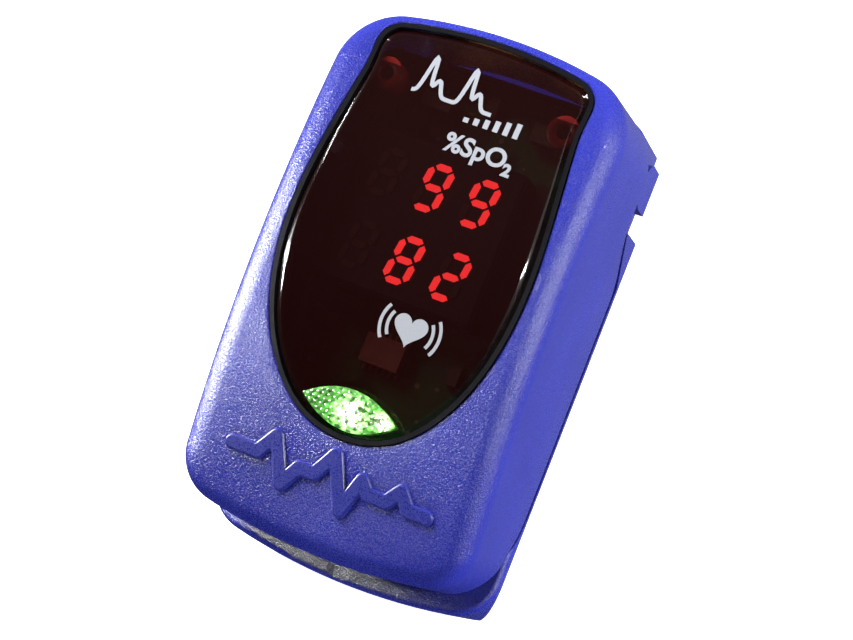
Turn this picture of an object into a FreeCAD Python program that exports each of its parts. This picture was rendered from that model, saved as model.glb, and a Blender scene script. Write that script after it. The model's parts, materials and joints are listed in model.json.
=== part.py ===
"""Fingertip pulse oximeter: two sprung jaws that close on a finger, and a battery tray.

Millimetres. +X is to the right, +Y runs from the finger opening to the hinge end, +Z is up.
The origin is the centre of the bounding box in plan, on the face the device rests on.
"""
import FreeCAD, Part
import math
import os

os.makedirs("parts", exist_ok=True)

V = FreeCAD.Vector
X_AXIS = V(1, 0, 0)
Y_AXIS = V(0, 1, 0)
Z_AXIS = V(0, 0, 1)

# ---- driving dimensions -------------------------------------------------------------------
LENGTH = 57.0
WIDTH = 33.0
HEIGHT = 32.0
WALL = 1.5
FIT = 0.15                      # gap between parts that only sit beside each other
REACH = 40.0                    # larger than the device, for cutting tools
INSIDE_Z = 20.0                 # a height below every part of the window and its surround

# crowned top: one large cylinder across the device
CROWN_RADIUS = 87.6
CROWN_Y = 6.4
COVER_DROP = 0.3                # the cover lies this far below the crown of the window
COVER_EDGE_RADIUS = 2.6

# plan of the two halves
HALF_WIDTH = WIDTH / 2
HALF_WIDTH_REAR = 16.1
COVER_FRONT = -26.4
COVER_REAR = 28.2
LIP_FRONT = -LENGTH / 2
LOWER_REAR = LENGTH / 2
FRONT_BOW = 2.1                 # how far the front edge bows out between its corners
REAR_BOW = 2.5
FRONT_CORNER_RADIUS = 5.0
REAR_CORNER_RADIUS = 7.0
CREASE_Z = 18.0                 # the flank leans inwards above this crease
SHOULDER_HALF_WIDTH = 15.75
HULL_FOOT_HALF_WIDTH = 13.3     # the lower half narrows like a hull from its rim to its foot
HULL_RIM_Z = 11.8
NECK_HALF_WIDTH = 14.4          # behind the side notch the lower half is narrower
NECK_FOOT_HALF_WIDTH = 12.6
NECK_START = 15.4
NECK_CORNER_Y = 23.4            # from here the neck narrows to its tail
TAIL_HALF_WIDTH = 12.0
NECK_RIM_Z = 9.0
CHEEK_WALL = 0.7                # thinner where the hinge cheeks pass inside
FOOT_BEVEL = 1.2
FRONT_RAKE = 1.2

# seam between the halves, as seen from the side
FRONT_EDGE_Z = 18.2
SKIRT_Z = 12.2
REAR_EDGE_Z = 16.5
LIP_Z = 13.0
SPLIT_Z = 8.5                   # seam between lower frame and bottom cover

# hinge
HINGE_Y = 20.8
HINGE_Z = 13.7
PIN_RADIUS = 1.0
PIN_HALF_LENGTH = 15.0           # the ears close over its ends
RUNNING_GAP = 0.05
SPREAD_TRAVEL = 4.0
CHEEK_IN = 11.3
CHEEK_OUT = 13.0
CHEEK_HALF_DEPTH = 3.0
CHEEK_BOTTOM_Z = 6.6
EAR_IN = 13.2
EAR_OUT = 15.75
EAR_RADIUS = 2.4
BLOCK_HALF_DEPTH = 1.95
BLOCK_HALF_HEIGHT = 2.1

# window
WINDOW_THICKNESS = 1.2
GASKET_IN = 0.05
GASKET_OUT = 0.5
TRACE_Y = -18.9
TRACE_HALF_STROKE = 0.72

# finger channel
TROUGH_RADIUS = 9.0
TROUGH_TOP_Z = 21.2
TROUGH_BOTTOM_Z = 13.5
PAD_HALF_WIDTH = 11.6
UPPER_PAD_Z = 17.2
LOWER_PAD_Z = 16.4
STOP_Y = 12.5
SENSOR_Y = -4.0
APERTURE_RADIUS = 2.2

# inner frames and boards
FLOOR_Z = 21.9
FLOOR_THICKNESS = 1.0
DECK_Z = 11.95
DECK_THICKNESS = 0.8
BOARD_Z = 23.2
BOARD_THICKNESS = 1.0
BOARD_HALF_WIDTH = 11.0
BOARD_FRONT = -17.0
BOARD_REAR = 24.0

# underside
FLOOR_SKIN = 1.0
PLATE_RECESS = 0.25

# two AAA cells side by side
CELL_RADIUS = 5.25
CELL_LENGTH = 44.5
CELL_NUB = 1.2
CELL_X = 5.3
CELL_Z = 6.4
CELL_FRONT = -18.1
TRAY_HALF_WIDTH = 10.9
CRADLE_Z = 4.5
TRAY_Z = 1.15
CAP_FRONT = 26.85
CAP_HALF_WIDTH = 11.2
CAP_BAY_Y = 24.0
BAY_FRONT = -23.5

# display: two rows of three slanted seven-segment digits
DIGIT_HEIGHT = 5.08
DIGIT_SPACING = 2.16            # between the centre lines of the upright segments
DIGIT_PITCH_X = 5.02
DIGIT_PITCH_Y = 7.7
DIGIT_SLANT = math.radians(8.0)
STROKE = 0.68
SEGMENT_GAP = 0.2
DISPLAY_X = -0.95
DISPLAY_Y = 7.55
DISPLAY_Z = 28.3
DISPLAY_SIZE = (17.4, 16.2)

# fasteners
CHASSIS_SCREW_PLACES = [(13.2, -16.0), (13.2, 12.6)]
COVER_SCREW_PLACE = (10.0, -23.0)
COVER_BOSS_RADIUS = 1.35
BOSS_RADIUS = 1.5
SCREW_RADIUS = 0.75


# ---- helpers ------------------------------------------------------------------------------
def box(x0, x1, y0, y1, z0, z1):
    return Part.makeBox(x1 - x0, y1 - y0, z1 - z0, V(x0, y0, z0))


def rod(radius, start, direction, length):
    return Part.makeCylinder(radius, length, start, direction)


def mirrored(shape):
    return shape.mirror(V(0, 0, 0), X_AXIS)


def both_sides(shape):
    return shape.fuse(mirrored(shape))


def fused(shapes):
    return shapes[0].multiFuse(shapes[1:]).removeSplitter()


def group(shapes):
    """Separate solids that share one node."""
    return Part.makeCompound(shapes)


def side_prism(points, half_width):
    """A closed outline in the YZ plane, extruded across the device."""
    corners = [V(-half_width, y, z) for y, z in points]
    face = Part.Face(Part.makePolygon(corners + corners[:1]))
    return face.extrude(V(2 * half_width, 0, 0))


def end_prism(points):
    """A closed outline in the XZ plane, extruded along the device."""
    corners = [V(x, -REACH, z) for x, z in points]
    face = Part.Face(Part.makePolygon(corners + corners[:1]))
    return face.extrude(V(0, 2 * REACH, 0))


def export(node, shape):
    shape.exportStep("parts/" + node + ".step")


def coil(radius, pitch, height, wire_radius, start, direction):
    """A round-wire coil spring whose axis starts at start."""
    helix = Part.makeHelix(pitch, height, radius)
    profile = Part.Wire(Part.makeCircle(wire_radius, V(radius, 0, 0), Y_AXIS))
    spring = Part.Wire(helix).makePipeShell([profile], True, True)
    turn = FreeCAD.Rotation(Z_AXIS, direction)
    spring.Placement = FreeCAD.Placement(start, turn)
    return spring


# ---- outer forms --------------------------------------------------------------------------
def plan_block(inset, front, rear, bottom, top):
    """The device's plan as an upright block: bowed ends, tapering sides, round corners."""
    half_front = HALF_WIDTH - inset
    half_rear = HALF_WIDTH_REAR - inset
    front_corner = front + inset + FRONT_BOW
    rear_corner = rear - inset - REAR_BOW
    fl = V(-half_front, front_corner, bottom)
    fr = V(half_front, front_corner, bottom)
    rl = V(-half_rear, rear_corner, bottom)
    rr = V(half_rear, rear_corner, bottom)
    edges = [
        Part.Arc(fl, V(0, front + inset, bottom), fr).toShape(),
        Part.makeLine(fr, rr),
        Part.Arc(rr, V(0, rear - inset, bottom), rl).toShape(),
        Part.makeLine(rl, fl),
    ]
    block = Part.Face(Part.Wire(edges)).extrude(V(0, 0, top - bottom))
    upright = [e for e in block.Edges if abs(e.tangentAt(e.FirstParameter).z) > 0.99]
    front_edges = [e for e in upright if e.Vertexes[0].Y < 0]
    block = block.makeFillet(FRONT_CORNER_RADIUS - inset, front_edges)
    upright = [e for e in block.Edges if len(e.Vertexes) == 2
               and abs(e.tangentAt(e.FirstParameter).z) > 0.99
               and abs(e.Vertexes[0].Y - rear_corner) < 0.01]
    return block.makeFillet(REAR_CORNER_RADIUS - inset, upright)


def crown(drop):
    """Everything under the crowned top, lowered by drop."""
    centre = V(-REACH, CROWN_Y, HEIGHT - CROWN_RADIUS)
    return rod(CROWN_RADIUS - drop, centre, X_AXIS, 2 * REACH)


def crown_sheet(drop, thickness):
    return crown(drop).cut(crown(drop + thickness))


def on_crown(edge, drop):
    middle = edge.valueAt((edge.FirstParameter + edge.LastParameter) / 2)
    reach = math.hypot(middle.y - CROWN_Y, middle.z - HEIGHT + CROWN_RADIUS)
    return abs(reach - CROWN_RADIUS + drop) < 0.01


def upper_block(inset, drop, edge_radius):
    """The upper half as a solid: creased flanks, crowned top, rounded top edge."""
    shoulder = SHOULDER_HALF_WIDTH - inset
    widest = HALF_WIDTH - inset
    flanks = end_prism([
        (-widest, 0), (widest, 0), (widest, CREASE_Z),
        (shoulder, HEIGHT), (-shoulder, HEIGHT), (-widest, CREASE_Z),
    ])
    block = plan_block(inset, COVER_FRONT, COVER_REAR, SKIRT_Z - 2, HEIGHT + 2)
    block = block.common(flanks).common(crown(drop))
    rim = [e for e in block.Edges if on_crown(e, drop)]
    return block.makeFillet(edge_radius, rim)


def lower_block(inset):
    """The lower half as a solid: hull-shaped flanks, a raked front, and a neck behind the notch."""
    foot = HULL_FOOT_HALF_WIDTH - inset
    widest = HALF_WIDTH - inset
    bevel = FOOT_BEVEL - inset / 2
    hull = end_prism([
        (bevel - foot, inset), (foot - bevel, inset), (foot, inset + bevel), (widest, HULL_RIM_Z),
        (widest, REACH), (-widest, REACH), (-widest, HULL_RIM_Z), (-foot, inset + bevel),
    ])
    front = LIP_FRONT + inset
    rear = LOWER_REAR - inset
    rake = side_prism([
        (front + FRONT_RAKE + bevel, inset), (rear - bevel, inset), (rear, inset + bevel),
        (rear, REACH), (front, REACH), (front, SPLIT_Z), (front + FRONT_RAKE, inset + bevel),
    ], REACH)
    block = plan_block(inset, LIP_FRONT, LOWER_REAR, inset, HINGE_Z + 3)
    block = block.common(hull).common(rake)
    neck = NECK_HALF_WIDTH - inset
    neck_foot = NECK_FOOT_HALF_WIDTH - inset
    sides = end_prism([(neck_foot, 0), (neck, NECK_RIM_Z), (neck, REACH), (REACH, REACH), (REACH, 0)])
    sides = sides.common(box(0, REACH, NECK_START - inset, REACH, -1, REACH))
    tail = TAIL_HALF_WIDTH - inset
    outline = [(neck, NECK_CORNER_Y), (REACH, NECK_CORNER_Y), (REACH, REACH), (tail, REACH),
               (tail, LOWER_REAR)]
    corners = [V(x, y, -1) for x, y in outline]
    corner = Part.Face(Part.makePolygon(corners + corners[:1])).extrude(V(0, 0, REACH))
    return block.cut([sides, mirrored(sides), corner, mirrored(corner)])


def seam_tool():
    """Everything below the cover's lower edge, which dips along the middle of the flank."""
    tool = side_prism([
        (-REACH, 0), (-REACH, FRONT_EDGE_Z), (-24.2, FRONT_EDGE_Z - 0.4), (-16.5, SKIRT_Z + 0.5),
        (10.0, SKIRT_Z), (15.0, REAR_EDGE_Z), (REACH, REAR_EDGE_Z), (REACH, 0),
    ], REACH)
    bends = [e for e in tool.Edges if e.Length > REACH and e.Vertexes[0].Z > 1
             and abs(e.Vertexes[0].Y) < REACH - 1]
    return tool.makeFillet(2.5, bends)


# ---- upper unit ---------------------------------------------------------------------------
def window_face(grow):
    """Plan of the display window, pointed towards the finger opening, grown outwards by grow."""
    half = [(4.8, -13.1), (9.0, -8.75), (11.4, -3.0), (12.35, 4.3), (11.85, 12.8), (11.0, 20.3)]
    points = [V(-x, y, 0) for x, y in reversed(half)] + [V(0, -14.35, 0)]
    points += [V(x, y, 0) for x, y in half]
    curve = Part.BSplineCurve()
    curve.interpolate(points)
    if grow:
        tangents = [curve.tangent(curve.parameter(p))[0] for p in points]
        points = [p + V(t.y, -t.x, 0) * grow for p, t in zip(points, tangents)]
        curve.interpolate(points)
    corner = V(11.05 + grow, 23.4, 0)
    bend = V(10.5 + 0.7 * grow, 24.8 + 0.7 * grow, 0)
    shoulder = V(9.1, 25.5 + grow, 0)
    rear = V(0, 26.45 + grow, 0)
    left_corner, left_bend, left_shoulder = [V(-p.x, p.y, 0) for p in (corner, bend, shoulder)]
    edges = [
        curve.toShape(),
        Part.makeLine(points[-1], corner),
        Part.Arc(corner, bend, shoulder).toShape(),
        Part.Arc(shoulder, rear, left_shoulder).toShape(),
        Part.Arc(left_shoulder, left_bend, left_corner).toShape(),
        Part.makeLine(left_corner, points[0]),
    ]
    return Part.Face(Part.Wire(edges))


def through_top(face):
    """A plan outline extruded through the whole top of the device."""
    placed = face.copy()
    placed.translate(V(0, 0, INSIDE_Z))
    return placed.extrude(V(0, 0, REACH - INSIDE_Z))


def indicator_face(shrink):
    """Plan of the pulse indicator: the shape between two shallow arcs."""
    left = V(-5.2 + 2 * shrink, -11.9, 0)
    right = V(5.2 - 2 * shrink, -11.9, 0)
    rear = V(0, -9.9 - shrink, 0)
    front = V(0, -14.05 + shrink, 0)
    edges = [Part.Arc(left, rear, right).toShape(), Part.Arc(right, front, left).toShape()]
    return Part.Face(Part.Wire(edges))


def pulse_relief():
    """A raised pulse trace in front of the window, drawn as round-ended strokes."""
    path = [(-10.6, 0), (-7.8, 0), (-6.3, 2.1), (-4.6, -2.1), (-3.2, 0), (-1.5, 0), (0.1, 2.5),
            (2.0, -2.4), (3.4, 1.1), (4.3, 0), (6.3, 0), (7.5, 1.5), (8.7, 0), (10.6, 0)]
    height = REACH - INSIDE_Z
    joints = [V(x, TRACE_Y + y, INSIDE_Z) for x, y in path]
    strokes = [rod(TRACE_HALF_STROKE, joint, Z_AXIS, height) for joint in joints]
    for start, end in zip(joints, joints[1:]):
        run = end - start
        across = V(-run.y, run.x, 0).normalize() * TRACE_HALF_STROKE
        corners = [start + across, start - across, end - across, end + across]
        stroke = Part.Face(Part.makePolygon(corners + corners[:1]))
        strokes.append(stroke.extrude(V(0, 0, height)))
    return fused(strokes).common(crown_sheet(0, COVER_DROP + 0.4))


def top_cover():
    shell = upper_block(0, COVER_DROP, COVER_EDGE_RADIUS)
    shell = shell.cut(upper_block(WALL, COVER_DROP + WALL, COVER_EDGE_RADIUS - WALL))
    posts = []
    for x, y in CHASSIS_SCREW_PLACES:
        post = rod(BOSS_RADIUS, V(x, y, FLOOR_Z + FLOOR_THICKNESS), Z_AXIS, 20)
        hole = rod(SCREW_RADIUS, V(x, y, FLOOR_Z), Z_AXIS, 4)
        posts += [post.cut(hole), mirrored(post.cut(hole))]
    posts = group(posts).common(crown(COVER_DROP + WALL / 2))
    shell = shell.fuse([pulse_relief()] + posts.Solids)
    shell = shell.cut(through_top(window_face(GASKET_OUT + 0.05)))
    return shell.cut(seam_tool()).removeSplitter()


def window_gasket():
    ring = window_face(GASKET_OUT).cut(window_face(GASKET_IN))
    return through_top(ring).common(crown_sheet(COVER_DROP / 2, WINDOW_THICKNESS + 0.4))


def display_window():
    plan = window_face(0).cut(indicator_face(0))
    return through_top(plan).common(crown_sheet(0, WINDOW_THICKNESS))


def pulse_indicator_lens():
    """Light guide from the indicator LED up to the window's surface."""
    cap = through_top(indicator_face(0.06)).common(crown_sheet(0.05, 1.4))
    guide = rod(1.6, V(0, -11.9, BOARD_Z + BOARD_THICKNESS + 1.2), Z_AXIS, 10)
    return cap.fuse(guide.common(crown(1.0))).removeSplitter()


def display_module():
    half_x, half_y = DISPLAY_SIZE[0] / 2, DISPLAY_SIZE[1] / 2
    base = BOARD_Z + BOARD_THICKNESS
    body = box(DISPLAY_X - half_x, DISPLAY_X + half_x, DISPLAY_Y - half_y, DISPLAY_Y + half_y,
               base, DISPLAY_Z)
    edges = [e for e in body.Edges if abs(e.tangentAt(0).z) > 0.9 or e.BoundBox.ZMin > DISPLAY_Z - 0.1]
    return body.makeChamfer(0.4, edges)


def segment(x, y, half_length, upright):
    """One six-sided bar lying on the display's face, before the slant."""
    tip = half_length - SEGMENT_GAP
    flat = tip - STROKE / 2
    half = STROKE / 2
    outline = [(-tip, 0), (-flat, half), (flat, half), (tip, 0), (flat, -half), (-flat, -half)]
    if upright:
        outline = [(b, a) for a, b in outline]
    corners = [V(x + a + (y + b) * math.tan(DIGIT_SLANT), y + b, 0) for a, b in outline]
    return Part.Face(Part.makePolygon(corners + corners[:1])).extrude(V(0, 0, 0.12))


def digit_segments():
    """The seven bars of one digit about its own centre, by their usual letters."""
    arm = (DIGIT_HEIGHT - STROKE) / 2
    side = DIGIT_SPACING / 2
    return {
        "a": segment(0, arm, side, False),
        "b": segment(side, arm / 2, arm / 2, True),
        "c": segment(side, -arm / 2, arm / 2, True),
        "d": segment(0, -arm, side, False),
        "e": segment(-side, -arm / 2, arm / 2, True),
        "f": segment(-side, arm / 2, arm / 2, True),
        "g": segment(0, 0, side, False),
    }


def display_digits():
    """Lit and unlit bars for the two readings on the display."""
    lit_letters = {" ": "", "9": "abcdfg", "8": "abcdefg", "2": "abdeg"}
    rows = [" 99", " 82"]
    lit, unlit = [], []
    for row, reading in enumerate(rows):
        for column, character in enumerate(reading):
            x = DISPLAY_X + (column - 1) * DIGIT_PITCH_X
            y = DISPLAY_Y + (0.5 - row) * DIGIT_PITCH_Y
            for letter, bar in digit_segments().items():
                bar.translate(V(x, y, DISPLAY_Z))
                wanted = lit if letter in lit_letters[character] else unlit
                wanted.append(bar)
    return group(lit), group(unlit)


def main_circuit_board():
    board = box(-BOARD_HALF_WIDTH, BOARD_HALF_WIDTH, BOARD_FRONT, BOARD_REAR,
                BOARD_Z, BOARD_Z + BOARD_THICKNESS)
    corners = [e for e in board.Edges if abs(e.tangentAt(0).z) > 0.9]
    return board.makeChamfer(2.5, corners)


def processor_chip():
    base = BOARD_Z + BOARD_THICKNESS
    body = box(-2.5, 1.7, -6.8, -3.8, base + 0.15, base + 1.5)
    legs = []
    for step in range(6):
        x = -2.2 + step * 0.72
        legs.append(box(x, x + 0.3, -7.4, -3.2, base, base + 0.3))
    return fused([body] + legs)


def board_components():
    base = BOARD_Z + BOARD_THICKNESS
    places = [(-8.5, -4.5, 2.0, 1.2, 1.1), (-8.5, -7.5, 2.0, 1.2, 1.1), (6.5, -6.0, 1.2, 2.0, 0.9),
              (-5.0, -12.0, 1.6, 0.8, 0.6), (5.5, -12.5, 1.6, 0.8, 0.6), (-6.5, 19.5, 3.2, 1.6, 1.4),
              (5.5, 19.5, 4.5, 1.9, 1.4), (0.0, 20.5, 1.2, 2.0, 0.9)]
    return group([box(x, x + w, y, y + d, base, base + h) for x, y, w, d, h in places])


def indicator_led():
    base = BOARD_Z + BOARD_THICKNESS
    body = box(-0.8, 0.8, -12.5, -11.3, base, base + 0.7)
    dome = rod(0.5, V(0, -11.9, base + 0.6), Z_AXIS, 0.4)
    return fused([body, dome])


def upper_chassis():
    """Inner frame: floor under the board, wall around the pad, and slotted hinge cheeks."""
    inner = upper_block(WALL + FIT, COVER_DROP + WALL + FIT, COVER_EDGE_RADIUS - WALL - FIT)
    floor = box(-20, 20, -23.6, 24.6, FLOOR_Z, FLOOR_Z + FLOOR_THICKNESS)
    wall = box(-20, 20, -23.6, 15.4, UPPER_PAD_Z - 0.2, FLOOR_Z)
    wall = wall.cut(box(-PAD_HALF_WIDTH - FIT, PAD_HALF_WIDTH + FIT, -22.8, 14.4, 0, FLOOR_Z))
    mouth = rod(TROUGH_RADIUS + 0.8, V(0, -REACH, TROUGH_TOP_Z - TROUGH_RADIUS), Y_AXIS, 30)
    frame = floor.fuse(wall.cut(mouth)).common(inner)
    cheek = box(CHEEK_IN, CHEEK_OUT, HINGE_Y - CHEEK_HALF_DEPTH, HINGE_Y + CHEEK_HALF_DEPTH,
                CHEEK_BOTTOM_Z, FLOOR_Z + 0.5)
    ends = [e for e in cheek.Edges if abs(e.tangentAt(0).x) > 0.9 and e.BoundBox.ZMax < 10]
    plan = plan_block(WALL + FIT, COVER_FRONT, COVER_REAR, 0, REACH)
    cheek = cheek.makeFillet(1.5, ends).common(plan)
    half_slot = BLOCK_HALF_DEPTH + RUNNING_GAP
    slot = box(0, 20, HINGE_Y - half_slot, HINGE_Y + half_slot,
               HINGE_Z - BLOCK_HALF_HEIGHT - SPREAD_TRAVEL - 0.1,
               HINGE_Z + BLOCK_HALF_HEIGHT + RUNNING_GAP)
    frame = frame.fuse([cheek, mirrored(cheek)]).cut(both_sides(slot.common(cheek)))
    frame = frame.cut(rod(APERTURE_RADIUS + 0.2, V(0, SENSOR_Y, FLOOR_Z - 1), Z_AXIS, 3))
    for x, y in CHASSIS_SCREW_PLACES:
        hole = rod(SCREW_RADIUS + 0.15, V(x, y, 10), Z_AXIS, 20)
        recess = rod(1.6, V(x, y, 10), Z_AXIS, FLOOR_Z - 10)
        frame = frame.cut([hole, mirrored(hole), recess, mirrored(recess)])
    return frame.removeSplitter()


def screw(x, y, head_bottom, head_height, head_radius, length):
    """A self-tapping screw standing on its head, with a cross recess."""
    head = rod(head_radius, V(x, y, head_bottom), Z_AXIS, head_height)
    rim = [e for e in head.Edges if e.BoundBox.ZMax < head_bottom + 0.01]
    head = head.makeChamfer(head_height * 0.4, rim)
    shank = rod(SCREW_RADIUS - 0.05, V(x, y, head_bottom), Z_AXIS, head_height + length)
    arm = box(x - 0.75, x + 0.75, y - 0.13, y + 0.13, head_bottom - 1, head_bottom + 0.35)
    cross = arm.fuse(arm.copy().rotate(V(x, y, 0), Z_AXIS, 90))
    return head.fuse(shank).cut(cross).removeSplitter()


def chassis_screws():
    screws = []
    for x, y in CHASSIS_SCREW_PLACES:
        one = screw(x, y, FLOOR_Z - 0.7, 0.7, 1.35, 3.2)
        screws += [one, mirrored(one)]
    return group(screws)


def trough(centre_z, extra, start_y, end_y):
    return rod(TROUGH_RADIUS + extra, V(0, start_y, centre_z), Y_AXIS, end_y - start_y)


def upper_finger_pad():
    """Moulded pad with a trough for the nail side, and the wall the fingertip stops at."""
    pad = box(-PAD_HALF_WIDTH, PAD_HALF_WIDTH, -22.6, 14.2, UPPER_PAD_Z, FLOOR_Z)
    pad = pad.cut(trough(TROUGH_TOP_Z - TROUGH_RADIUS, 0, -REACH, STOP_Y))
    stop = box(-7.0, 7.0, STOP_Y, 14.2, UPPER_PAD_Z - 2.6, UPPER_PAD_Z + 0.5)
    pad = pad.fuse(stop)
    return pad.cut(rod(APERTURE_RADIUS, V(0, SENSOR_Y, 15), Z_AXIS, 10)).removeSplitter()


def emitter_window():
    return rod(APERTURE_RADIUS - 0.08, V(0, SENSOR_Y, TROUGH_TOP_Z + 0.1), Z_AXIS, 0.55)


def led_emitter():
    body = box(-1.4, 1.4, SENSOR_Y - 1.2, SENSOR_Y + 1.2, FLOOR_Z + 0.1, BOARD_Z)
    dies = [box(x - 0.35, x + 0.35, SENSOR_Y - 0.35, SENSOR_Y + 0.35, FLOOR_Z, FLOOR_Z + 0.2)
            for x in (-0.6, 0.6)]
    return fused([body] + dies)


# ---- hinge carriage -----------------------------------------------------------------------
def hinge_pin():
    pin = rod(PIN_RADIUS, V(-PIN_HALF_LENGTH, HINGE_Y, HINGE_Z), X_AXIS, 2 * PIN_HALF_LENGTH)
    return pin.makeChamfer(0.25, [e for e in pin.Edges if e.Closed and e.BoundBox.XLength < 0.01])


def guide_block():
    """Block that slides in the cheek's slot and carries the hinge pin, with an inner flange."""
    depth, height = BLOCK_HALF_DEPTH, BLOCK_HALF_HEIGHT
    body = box(CHEEK_IN - 0.2, CHEEK_OUT - 0.1, HINGE_Y - depth, HINGE_Y + depth,
               HINGE_Z - height, HINGE_Z + height)
    flange = box(CHEEK_IN - 0.6, CHEEK_IN - 0.1, HINGE_Y - depth - 0.7, HINGE_Y + depth + 0.7,
                 HINGE_Z - height + 0.4, HINGE_Z + height)
    bore = rod(PIN_RADIUS + RUNNING_GAP / 2, V(0, HINGE_Y, HINGE_Z), X_AXIS, 20)
    return body.fuse(flange).cut(bore).removeSplitter()


def lift_springs():
    """Extension springs that pull the carriage up and close the jaws."""
    springs = []
    for side in (-1, 1):
        start = V(side * 9.3, HINGE_Y, HINGE_Z + PIN_RADIUS + 0.4)
        springs.append(coil(1.0, 0.62, FLOOR_Z - start.z - 0.4, 0.2, start, Z_AXIS))
    return group(springs)


def torsion_springs():
    """Coils round the pin that turn the lower jaw shut; each has two straight legs."""
    wire = 0.22
    turn_radius = PIN_RADIUS + 0.1 + wire
    pitch = 0.55
    springs = []
    for side in (-1, 1):
        first = side * 4.2 if side > 0 else side * 7.5
        start = V(first, HINGE_Y, HINGE_Z)
        springs.append(coil(turn_radius, pitch, 3.3, wire, start, X_AXIS))
    return group(springs)


# ---- lower jaw ----------------------------------------------------------------------------
def lower_frame():
    """Upper part of the lower jaw: front lip, side walls, deck over the cells, hinge ears."""
    outline = side_prism([
        (-REACH, SPLIT_Z + 0.1), (-REACH, LIP_Z), (-19.5, LIP_Z), (-15.5, SKIRT_Z - 0.1),
        (10.3, SKIRT_Z - 0.6), (15.0, REAR_EDGE_Z - 0.6), (15.4, REAR_EDGE_Z - 0.6), (15.4, 9.6),
        (18.4, 9.6), (18.4, HINGE_Z), (23.2, HINGE_Z), (24.0, HINGE_Z - 0.4),
        (REACH, HINGE_Z - 0.4), (REACH, SPLIT_Z + 0.1),
    ], REACH)
    frame = lower_block(0).common(outline)
    rim = [e for e in frame.Edges if abs(e.BoundBox.ZMax - LIP_Z) < 0.01
           and e.BoundBox.ZLength < 0.01 and e.BoundBox.YMax < -19.4]
    frame = frame.makeFillet(0.7, rim)
    frame = frame.cut(lower_block(WALL).common(box(-REACH, REACH, -REACH, REACH, 0, DECK_Z - 0.8)))
    seat_half_width = PAD_HALF_WIDTH + 1.2
    seat = box(-seat_half_width, seat_half_width, -24.7, 14.6, DECK_Z, LOWER_PAD_Z - 0.3)
    ear = rod(EAR_RADIUS, V(EAR_IN, HINGE_Y, HINGE_Z), X_AXIS, EAR_OUT - EAR_IN)
    ear_web = box(EAR_IN, EAR_OUT, HINGE_Y - EAR_RADIUS, HINGE_Y + EAR_RADIUS, SPLIT_Z + 2, HINGE_Z)
    ear = ear.fuse(ear_web)
    x, y = COVER_SCREW_PLACE
    post = rod(COVER_BOSS_RADIUS, V(x, y, SPLIT_Z + 0.1), Z_AXIS, DECK_Z - SPLIT_Z)
    hole = rod(SCREW_RADIUS, V(x, y, 0), Z_AXIS, DECK_Z)
    well = box(-EAR_IN, EAR_IN, NECK_START, 24.2, 0, REACH)
    well = well.common(plan_block(1.2, LIP_FRONT, LOWER_REAR, 0, REACH))
    bay_half_width = TRAY_HALF_WIDTH + 0.25
    cap_half_width = CAP_HALF_WIDTH + FIT
    deck_top = DECK_Z + DECK_THICKNESS
    bore_half_length = PIN_HALF_LENGTH + 0.1
    frame = frame.fuse([ear, mirrored(ear), seat])
    frame = frame.cut([
        box(-bay_half_width, bay_half_width, BAY_FRONT, REACH, 0, DECK_Z),
        well,
        box(-cap_half_width, cap_half_width, CAP_BAY_Y, REACH, 0, REACH),
        box(-PAD_HALF_WIDTH - FIT, PAD_HALF_WIDTH + FIT, -24.55, 12.2, deck_top, REACH),
        box(-8.0, 8.0, 10, 20, deck_top, REACH),
        trough(TROUGH_BOTTOM_Z + TROUGH_RADIUS - 0.6, 0, -REACH, -24.4),
        rod(PIN_RADIUS + RUNNING_GAP, V(-bore_half_length, HINGE_Y, HINGE_Z), X_AXIS, 2 * bore_half_length),
        rod(1.9, V(0, SENSOR_Y, DECK_Z - 1), Z_AXIS, 3),
    ])
    frame = frame.fuse([post, mirrored(post)]).cut([hole, mirrored(hole)])
    return frame.removeSplitter()


def bottom_cover():
    tub = lower_block(0).common(box(-REACH, REACH, -REACH, REACH, 0, SPLIT_Z))
    inside = box(-REACH, REACH, -REACH, REACH, FLOOR_SKIN, SPLIT_Z + 1)
    tub = tub.cut(lower_block(WALL).common(inside).fuse(lower_block(CHEEK_WALL).common(
        box(-REACH, REACH, NECK_START + 0.8, HINGE_Y + 3.4, 5.0, SPLIT_Z + 1))))
    bay_half_width = TRAY_HALF_WIDTH + 0.25
    cap_half_width = CAP_HALF_WIDTH + FIT
    tub = tub.cut([
        box(-bay_half_width, bay_half_width, BAY_FRONT, REACH, FLOOR_SKIN, REACH),
        box(-cap_half_width, cap_half_width, CAP_BAY_Y, REACH, FLOOR_SKIN, REACH),
        box(-8.5, 8.5, -13.0, 13.0, -1, PLATE_RECESS),
    ])
    x, y = COVER_SCREW_PLACE
    post = rod(COVER_BOSS_RADIUS, V(x, y, 0.5), Z_AXIS, SPLIT_Z - 0.5)
    hole = rod(SCREW_RADIUS + 0.1, V(x, y, -1), Z_AXIS, 20)
    recess = rod(1.4, V(x, y, -1), Z_AXIS, 1.85)
    tub = tub.fuse([post, mirrored(post)])
    tub = tub.cut([hole, mirrored(hole), recess, mirrored(recess)])
    return tub.removeSplitter()


def cover_screws():
    x, y = COVER_SCREW_PLACE
    one = screw(x, y, 0.15, 0.7, 1.3, 9.0)
    return group([one, mirrored(one)])


def rating_plate():
    """Blank plate let into the underside."""
    plate = box(-8.3, 8.3, -12.8, 12.8, 0.05, PLATE_RECESS)
    return plate.makeFillet(1.0, [e for e in plate.Edges if abs(e.tangentAt(0).z) > 0.9])


def lower_finger_pad():
    pad = box(-PAD_HALF_WIDTH, PAD_HALF_WIDTH, -24.4, 11.8, DECK_Z + DECK_THICKNESS, LOWER_PAD_Z)
    pad = pad.cut(trough(TROUGH_BOTTOM_Z + TROUGH_RADIUS, 0, -REACH, REACH))
    return pad.cut(rod(APERTURE_RADIUS, V(0, SENSOR_Y, 5), Z_AXIS, 10)).removeSplitter()


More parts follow.
